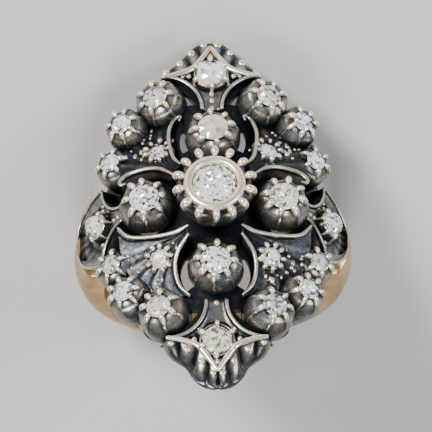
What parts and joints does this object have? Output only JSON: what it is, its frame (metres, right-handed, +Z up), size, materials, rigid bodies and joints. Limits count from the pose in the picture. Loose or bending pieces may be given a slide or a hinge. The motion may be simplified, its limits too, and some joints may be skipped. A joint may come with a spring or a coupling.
{
  "type": "navette ring",
  "caption": "Antique navette ring: a domed, pierced silver head of claw-set stones in collets, leaves and pointed plates on a plain gold hoop.",
  "frame": {"origin": "on the surface the ring lies on, below the middle of its bounding box; the ring lies on its side", "axes": "+X to the left shoulder of the head, the finger axis runs in the Y-Z plane, 53 degrees from horizontal, and +Z is up"},
  "size_m": [0.0212, 0.024, 0.0234],
  "materials": {
    "gold": "worn pale rose-gold, softly polished",
    "silver": "silver, dark in the recesses and bright on the worn edges",
    "stones": "old-cut diamond, clear to slightly grey"
  },
  "bodies": {
    "root": {"shank": "gold", "head": "silver", "centre_stone": "stones", "long_stone_top": "stones", "tip_stone_top": "stones", "long_stone_bottom": "stones", "tip_stone_bottom": "stones", "cross_stone_left": "stones", "side_stone_left": "stones", "cross_stone_right": "stones", "side_stone_right": "stones", "leaf_stone_top_left": "stones", "outer_stone_top_left_1": "stones", "outer_stone_top_left_2": "stones", "outer_stone_top_left_3": "stones", "leaf_stone_top_right": "stones", "outer_stone_top_right_1": "stones", "outer_stone_top_right_2": "stones", "outer_stone_top_right_3": "stones", "leaf_stone_bottom_left": "stones", "outer_stone_bottom_left_1": "stones", "outer_stone_bottom_left_2": "stones", "outer_stone_bottom_left_3": "stones", "leaf_stone_bottom_right": "stones", "outer_stone_bottom_right_1": "stones", "outer_stone_bottom_right_2": "stones", "outer_stone_bottom_right_3": "stones"}
  },
  "joints": []
}
